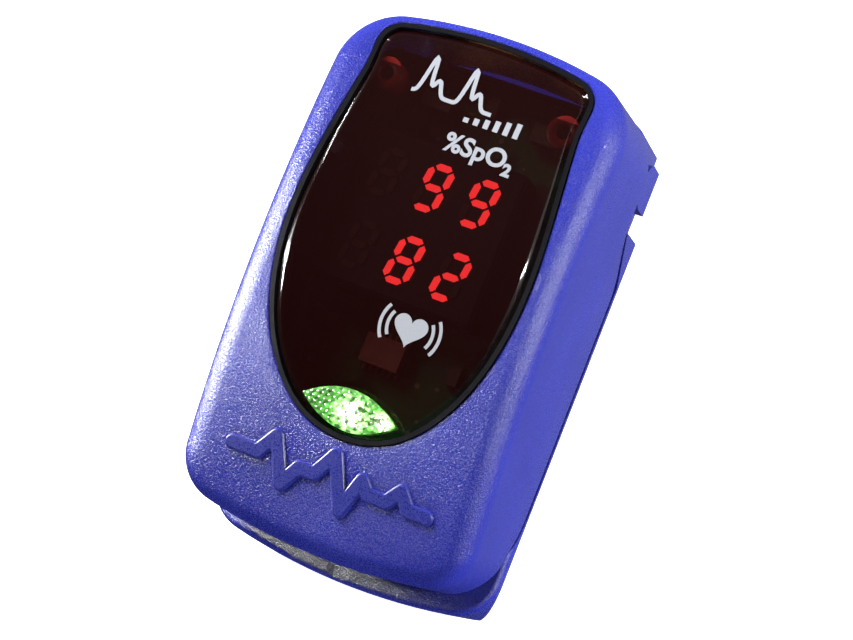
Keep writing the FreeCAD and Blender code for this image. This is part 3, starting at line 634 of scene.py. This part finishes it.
def wire(points, radius, sides=8):
    """Vertices and faces of a round wire through points."""
    vertices, faces = [], []
    across = None
    for i, point in enumerate(points):
        run = (points[min(i + 1, len(points) - 1)] - points[max(i - 1, 0)]).normalized()
        if across is None:
            across = run.orthogonal().normalized()
        across = (across - run * across.dot(run)).normalized()
        other = run.cross(across)
        for k in range(sides):
            angle = 2 * math.pi * k / sides
            vertices.append(point + (across * math.cos(angle) + other * math.sin(angle)) * radius)
    for i in range(len(points) - 1):
        for k in range(sides):
            a, b = i * sides + k, i * sides + (k + 1) % sides
            faces.append((a, b, b + sides, a + sides))
    faces.append(tuple(reversed(range(sides))))
    faces.append(tuple(range(len(vertices) - sides, len(vertices))))
    return vertices, faces


def bent_piece(name, points, radius, look, node):
    """A spring whose ends are held by two bodies, in place of its CAD node."""
    vertices, faces = wire(points, radius)
    spring = make_piece(name, vertices, faces, None, look)
    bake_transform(spring)
    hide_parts(node)


def lift_spring(name, x, look):
    """Close-wound extension spring with a hook at each end."""
    y, low, high = 20.8 * MM, 15.0 * MM, 21.7 * MM
    turns, radius, wire_radius, hook = 8, 0.95 * MM, 0.19 * MM, 1.1 * MM
    points = [Vector((x, y, low))]
    points.append(Vector((x, y, low + hook * 0.7)))
    for i in range(turns * 16 + 1):
        angle = 2 * math.pi * i / 16
        z = low + hook + (high - low - 2 * hook) * i / (turns * 16)
        points.append(Vector((x + radius * math.cos(angle), y + radius * math.sin(angle), z)))
    points.append(Vector((x, y, high - hook * 0.7)))
    points.append(Vector((x, y, high)))
    bent_piece(name, points, wire_radius, look,
               "lift_springs")


def jaw_spring(name, side, look):
    """Torsion spring round the pin, with a leg that presses on the lower jaw's deck."""
    pin = Vector((0, 20.8 * MM, 13.7 * MM))
    radius, wire_radius, turns, pitch = 1.34 * MM, 0.21 * MM, 6, 0.5 * MM
    first = 7.4 * MM
    points = [Vector((side * 8.6 * MM, pin.y + 0.9 * MM, pin.z + 1.0 * MM))]
    for i in range(turns * 20 + 6):
        angle = math.pi / 2 - 2 * math.pi * i / 20
        x = side * (first - pitch * i / 20)
        points.append(Vector((x, pin.y - radius * math.cos(angle + math.pi / 2),
                              pin.z + radius * math.sin(angle + math.pi / 2))))
    last = points[-1]
    points.append(Vector((last.x, 17.4 * MM, 12.7 * MM)))
    points.append(Vector((last.x, 15.2 * MM, 13.1 * MM)))
    points.append(Vector((last.x, 12.9 * MM, 13.05 * MM)))
    bent_piece(name, points, wire_radius, look,
               "torsion_springs")


def springs(look):
    for side, word in ((-1, "left"), (1, "right")):
        lift_spring("lift_spring_" + word, side * 9.3 * MM, look)
        jaw_spring("jaw_spring_" + word, side, look)


def rounded_block(name, low, high, radius, body, look):
    """A moulded block with rounded edges."""
    block = bmesh.new()
    bmesh.ops.create_cube(block, size=1.0)
    for vertex in block.verts:
        for axis in range(3):
            vertex.co[axis] = (low[axis] + high[axis]) / 2 + vertex.co[axis] * (high[axis] - low[axis])
    bmesh.ops.bevel(block, geom=list(block.edges), offset=radius, segments=5, affect="EDGES",
                    profile=0.5)
    vertices = [v.co.copy() for v in block.verts]
    faces = [tuple(v.index for v in f.verts) for f in block.faces]
    block.free()
    make_piece(name, vertices, faces, body, look)


def clip_posts(look):
    """Hollow posts moulded under the window, seen dimly through it near its rear corners."""
    outer, inner, sides = 1.75 * MM, 0.7 * MM, 40
    for side, word in ((-1, "left"), (1, "right")):
        x, y = side * 9.6 * MM, 20.6 * MM
        profile = [(inner, 26.0), (outer, 26.0), (outer, 29.3), (outer - 0.15 * MM, 29.45),
                   (inner + 0.15 * MM, 29.45), (inner, 29.3)]
        vertices, faces = [], []
        for k in range(sides):
            angle = 2 * math.pi * k / sides
            for radius, z in profile:
                vertices.append((x + radius * math.cos(angle), y + radius * math.sin(angle), z * MM))
        count = len(profile)
        for k in range(sides):
            after = (k + 1) % sides
            for j in range(count):
                up = (j + 1) % count
                faces.append((k * count + j, after * count + j, after * count + up, k * count + up))
        make_piece("clip_post_" + word, vertices, faces, "upper_unit", look)


def finger_pad(name, node, facing, look):
    """Moulded pad in its CAD solid's space: rounded trough, soft lips, shallow grip ribs.

    facing is +1 for the lower pad, whose trough opens upwards, and -1 for the upper one."""
    low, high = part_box(node)
    along, across = 72, 56
    half = high.x - 0.1 * MM
    base = low.z if facing > 0 else high.z
    lip = (high.z if facing > 0 else low.z + 2.6 * MM) - facing * 0.1 * MM
    thin = 0.7 * MM
    front = low.y + 0.15 * MM
    rear = (high.y if facing > 0 else high.y - 1.9 * MM) - 0.15 * MM
    radius = 9.0 * MM
    vertices, faces = [], []
    for i in range(along + 1):
        share = i / along
        y = front + share * (rear - front)
        flare = max(0.0, 1 - share * 6) ** 2
        for j in range(across + 1):
            x = -half + 2 * half * j / across
            trough = base + facing * (thin + radius - math.sqrt(max(radius ** 2 - x * x, 0)))
            if abs(x) >= radius:
                trough = lip + facing * radius
            open_height = min(facing * trough, facing * lip)
            gap = facing * trough - facing * lip
            soft = 0.5 * MM
            if abs(gap) < soft:
                open_height -= (soft - abs(gap)) ** 2 / (4 * soft)
            rib = 0.16 * MM * max(0.0, math.cos(2 * math.pi * y / (2.6 * MM))) ** 4
            inside = max(0.0, 1 - abs(x) / (0.72 * radius))
            height = open_height - rib * min(1.0, inside * 3) - flare * 0.5 * MM
            edge = min(half - abs(x), y - front, rear - y)
            round_edge = 0.9 * MM
            if edge < round_edge:
                height -= 0.55 * MM * (1 - edge / round_edge) ** 2
            height = max(height, facing * base + 0.25 * MM)
            vertices.append((x, y, facing * height))
    columns = across + 1
    top_count = len(vertices)
    vertices += [(v[0], v[1], base) for v in vertices]
    for i in range(along):
        for j in range(across):
            a = i * columns + j
            quad = (a, a + 1, a + columns + 1, a + columns)
            faces.append(quad)
            faces.append(tuple(k + top_count for k in reversed(quad)))
    ring = list(range(columns))
    ring += [i * columns + across for i in range(1, along + 1)]
    ring += [along * columns + j for j in range(across - 1, -1, -1)]
    ring += [i * columns for i in range(along - 1, 0, -1)]
    for a, b in zip(ring, ring[1:] + ring[:1]):
        faces.append((a, b, b + top_count, a + top_count))
    pad = make_piece(name, vertices, faces, nodes[node]["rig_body"], look)
    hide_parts(node)


def ribbon(points, width):
    """Vertices and faces of a flat stroke of even width through points (x, y)."""
    vertices, faces = [], []
    for i, point in enumerate(points):
        before = points[max(i - 1, 0)]
        after = points[min(i + 1, len(points) - 1)]
        run = Vector((after[0] - before[0], after[1] - before[1])).normalized()
        across = Vector((-run.y, run.x)) * width / 2
        vertices += [(point[0] + across.x, point[1] + across.y), (point[0] - across.x, point[1] - across.y)]
        if i:
            faces.append((2 * i - 2, 2 * i - 1, 2 * i + 1, 2 * i))
    return vertices, faces


def print_on_window(name, parts, look):
    """Ink on the window: flat shapes laid on the crowned face, with a hair of thickness."""
    lift = 0.03 * MM
    vertices, faces = [], []
    for flat_vertices, flat_faces in parts:
        offset = len(vertices)
        vertices += [(x, y, crown_z(y, lift)) for x, y in flat_vertices]
        faces += [tuple(k + offset for k in face) for face in flat_faces]
    make_piece(name, vertices, faces, "upper_unit", look, smooth=False)


def lettering(text, size, x, y, weight):
    """Flat mesh of a generic unit label in the built-in font, scaled to size."""
    curve = bpy.data.curves.new("label", "FONT")
    curve.body = text
    curve.size = size
    curve.offset = weight
    curve.resolution_u = 6
    obj = bpy.data.objects.new("label", curve)
    bpy.context.scene.collection.objects.link(obj)
    bpy.context.view_layer.update()
    mesh = bpy.data.meshes.new_from_object(obj.evaluated_get(bpy.context.evaluated_depsgraph_get()))
    vertices = [(v.co.x + x, v.co.y + y) for v in mesh.vertices]
    faces = [tuple(p.vertices) for p in mesh.polygons]
    bpy.data.objects.remove(obj)
    return vertices, faces


def heart(x, y, width):
    """Filled heart outline about (x, y)."""
    outline = []
    for i in range(48):
        t = 2 * math.pi * i / 48
        across = 16 * math.sin(t) ** 3
        up = 13 * math.cos(t) - 5 * math.cos(2 * t) - 2 * math.cos(3 * t) - math.cos(4 * t)
        outline.append((x + across * width / 32, y + (up + 2) * width / 32))
    centre = len(outline)
    faces = [(centre, i, (i + 1) % centre) for i in range(centre)]
    return outline + [(x, y)], faces


def arc(x, y, radius, middle, sweep, width):
    steps = 14
    points = []
    for i in range(steps + 1):
        angle = middle + (i / steps - 0.5) * sweep
        points.append((x + radius * math.cos(angle), y + radius * math.sin(angle)))
    return ribbon(points, width)


def pulse_wave(x, y, length, height, width):
    """Two beats of a pulse waveform, each with its steep rise and its second notch."""
    points = []
    steps = 72
    for i in range(steps + 1):
        beat = (2 * i / steps) % 1
        rise = math.exp(-((beat - 0.28) / 0.10) ** 2)
        notch = 0.42 * math.exp(-((beat - 0.56) / 0.12) ** 2)
        points.append((x + length * i / steps, y + height * (rise + notch)))
    return ribbon(points, width)


def window_printing():
    """White ink: a pulse waveform, the unit label, and a beating heart."""
    shader = Shader("printed_white_look")
    speck = shader.noise(0.15 * MM, 3)
    shader.set(Base_Color=shader.mix(speck, (0.24, 0.255, 0.285), (0.31, 0.325, 0.36)), Roughness=0.45)
    look = shader.material
    wave = [pulse_wave(-6.0 * MM, 19.6 * MM, 8.6 * MM, 4.0 * MM, 0.42 * MM)]
    for step in range(6):
        left = (0.2 + step * 1.05) * MM
        top = (18.6 + 0.22 * step) * MM
        base = 18.1 * MM
        right = left + 0.55 * MM
        wave.append(([(left, base), (right, base), (right, top), (left, top)], [(0, 1, 2, 3)]))
    print_on_window("printed_pulse_wave", wave, look)
    label = [lettering("%SpO", 2.65 * MM, -0.6 * MM, 14.9 * MM, 0.075 * MM),
             lettering("2", 1.7 * MM, 5.85 * MM, 14.3 * MM, 0.09 * MM)]
    print_on_window("printed_unit_label", label, look)
    beat_x, beat_y = 3.2 * MM, -2.9 * MM
    beat = [heart(beat_x, beat_y, 3.5 * MM)]
    for side in (0.0, math.pi):
        for radius, sweep in ((2.35 * MM, 1.05), (3.1 * MM, 1.15)):
            beat.append(arc(beat_x, beat_y + 0.2 * MM, radius, side, sweep, 0.34 * MM))
    print_on_window("printed_heart", beat, look)


def pulse_lens():
    """The indicator's cap with real dimples, replacing the plain CAD lens."""
    low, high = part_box("pulse_indicator_lens")
    half_x = (high.x - low.x) / 2
    tip_y = -11.9 * MM
    rear_rise, front_rise = high.y - tip_y, tip_y - low.y
    across, along = 96, 40
    vertices, faces = [], []
    pitch = 0.62 * MM
    for i in range(across + 1):
        u = -1 + 2 * i / across
        x = u * half_x
        rear = tip_y + rear_rise * (1 - u * u)
        front = tip_y - front_rise * (1 - u * u)
        for j in range(along + 1):
            v = -1 + 2 * j / along
            y = (rear + front) / 2 + v * (rear - front) / 2
            row = round(y / (pitch * 0.866))
            shift = 0.5 * pitch * (row % 2)
            column_x = round((x - shift) / pitch) * pitch + shift
            away = math.hypot(x - column_x, y - row * pitch * 0.866)
            dome = 0.16 * MM * max(0.0, 1 - (away / (0.5 * pitch)) ** 2)
            bulge = 0.26 * MM * (1 - u * u) * (1 - v * v)
            edge = min(1.0, (1 - abs(v)) * 6) * min(1.0, (1 - abs(u)) * 12)
            vertices.append((x, y, crown_z(y, 0.01 * MM) + bulge + dome * edge))
    columns = along + 1
    count = len(vertices)
    vertices += [(x, y, z - 1.1 * MM) for x, y, z in vertices]
    for i in range(across):
        for j in range(along):
            a = i * columns + j
            faces.append((a, a + 1, a + columns + 1, a + columns))
            faces.append((a + count, a + columns + count, a + columns + 1 + count, a + 1 + count))
    for i in range(across):
        for j in (0, along):
            a = i * columns + j
            faces.append((a, a + columns, a + columns + count, a + count))
    for j in range(along):
        for i in (0, across):
            a = i * columns + j
            faces.append((a, a + 1, a + 1 + count, a + count))
    lens = make_piece("pulse_lens_cap", vertices, faces, "upper_unit", pulse_lens_look())
    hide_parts("pulse_indicator_lens")


# ---- stage --------------------------------------------------------------------------------
def stage_floor():
    mesh = bpy.data.meshes.new("floor")
    reach = 3.0
    mesh.from_pydata([(-reach, -reach, 0), (reach, -reach, 0), (reach, reach, 0), (-reach, reach, 0)],
                     [], [(0, 1, 2, 3)])
    floor = bpy.data.objects.new("floor", mesh)
    bpy.context.scene.collection.objects.link(floor)
    shader = Shader("floor_look")
    shader.set(Base_Color=(0.93, 0.93, 0.94, 1), Roughness=0.75, Specular_IOR_Level=0.15,
               Emission_Color=(1, 1, 1, 1), Emission_Strength=1.0)
    floor.data.materials.append(shader.material)
    floor.location.z = cad_bounds[0][2] - 0.02 * MM
    floor.visible_glossy = False
    floor.visible_diffuse = False


LIGHT_AIM = Vector((0, 0, 20 * MM))


def softbox(name, position, size, power, shines_on):
    """An area light aimed at the device; shines_on limits it to broad lighting or to highlights."""
    light = bpy.data.lights.new(name, "AREA")
    light.shape = "RECTANGLE"
    light.size, light.size_y = size
    light.energy = power
    obj = bpy.data.objects.new(name, light)
    bpy.context.scene.collection.objects.link(obj)
    obj.location = position
    obj.rotation_euler = (LIGHT_AIM - Vector(position)).to_track_quat("-Z", "Y").to_euler()
    obj.visible_diffuse = "diffuse" in shines_on
    obj.visible_glossy = "glossy" in shines_on


def studio():
    """Pale room, darker overhead and in front, with two highlight strips and three broad fills."""
    world = bpy.data.worlds.new("studio")
    bpy.context.scene.world = world
    world.use_nodes = True
    tree = world.node_tree
    background = tree.nodes["Background"]
    coordinates = tree.nodes.new("ShaderNodeTexCoord")
    split = tree.nodes.new("ShaderNodeSeparateXYZ")
    tree.links.new(coordinates.outputs["Generated"], split.inputs[0])

    def fade(axis, start, end, first, last):
        made = tree.nodes.new("ShaderNodeMapRange")
        tree.links.new(split.outputs[axis], made.inputs["Value"])
        for name, value in (("From Min", start), ("From Max", end), ("To Min", first), ("To Max", last)):
            made.inputs[name].default_value = value
        return made.outputs["Result"]

    strength = fade("Z", 0.25, 0.8, 0.85, 0.09)
    for factor in (fade("Z", -0.6, 0.0, 0.6, 1.0), fade("Y", -0.3, 0.4, 0.04, 1.0),
                   fade("Y", 0.3, 0.9, 1.0, 0.25), fade("X", -0.3, 0.6, 0.6, 1.15)):
        product = tree.nodes.new("ShaderNodeMath")
        product.operation = "MULTIPLY"
        tree.links.new(strength, product.inputs[0])
        tree.links.new(factor, product.inputs[1])
        strength = product.outputs[0]
    tree.links.new(strength, background.inputs["Strength"])
    background.inputs["Color"].default_value = (1, 1, 1, 1)
    softbox("rear_left_box", (-0.52, 0.46, 0.40), (0.25, 0.3), 22.0, ("diffuse",))
    softbox("near_left_strip", (-0.13, -0.02, 0.080), (0.02, 0.09), 1.4, ("glossy",))
    softbox("right_strip", (0.55, 0.10, 0.36), (0.02, 0.36), 8.0, ("glossy",))
    softbox("front_fill", (0.04, -0.60, 0.03), (0.5, 0.06), 4.0, ("diffuse",))
    softbox("flank_fill", (0.60, 0.22, 0.05), (0.2, 0.3), 13.0, ("diffuse",))


def camera():
    """Looks down steeply from the front right, rolled so that the device leans to the right."""
    azimuth, elevation, roll = (math.radians(angle) for angle in (-14.98, 72.73, -53.93))
    target = Vector((0.00, -0.10, 16.96)) * MM
    distance = 222.77 * MM
    lens = bpy.data.cameras.new("camera")
    lens.lens = 91.49
    lens.sensor_width = 36.0
    lens.clip_start = 0.01
    obj = bpy.data.objects.new("camera", lens)
    bpy.context.scene.collection.objects.link(obj)
    turn = (Matrix.Rotation(azimuth + math.pi / 2, 4, "Z") @ Matrix.Rotation(math.pi / 2 - elevation, 4, "X")
            @ Matrix.Rotation(roll, 4, "Z"))
    obj.matrix_world = Matrix.Translation(target) @ turn @ Matrix.Translation((0, 0, distance))
    bpy.context.scene.camera = obj


bpy.context.scene.view_settings.view_transform = "Standard"
blue_look = dress_frame()
cover_moulding(blue_look)
window_moulding(smoked_lens())
# the raised trace is the cover's own blue plastic, its colour cut to 0.8 as painted shade
pulse_relief(sparked_plastic("relief_painted_shade_look", tuple(c * 0.8 for c in BLUE), 0.36, 0.35 * MM, 0.008 * MM))
springs(metal("spring_look", (0.50, 0.50, 0.52), 0.25))
clip_posts(plain_plastic("clip_post_look", (0.55, 0.035, 0.03), 0.4))
pad_look = silicone("pad_silicone_look", (0.10, 0.11, 0.13))
finger_pad("upper_pad_moulding", "upper_finger_pad", -1, pad_look)
finger_pad("lower_pad_moulding", "lower_finger_pad", 1, pad_look)
rounded_block("fingertip_stop", (-6.9 * MM, 12.6 * MM, 14.7 * MM), (6.9 * MM, 14.1 * MM, 21.7 * MM),
              0.5 * MM, "upper_unit", pad_look)
window_printing()
pulse_lens()
soften_edges("lower_frame", 0.15 * MM)
stage_floor()
studio()
camera()
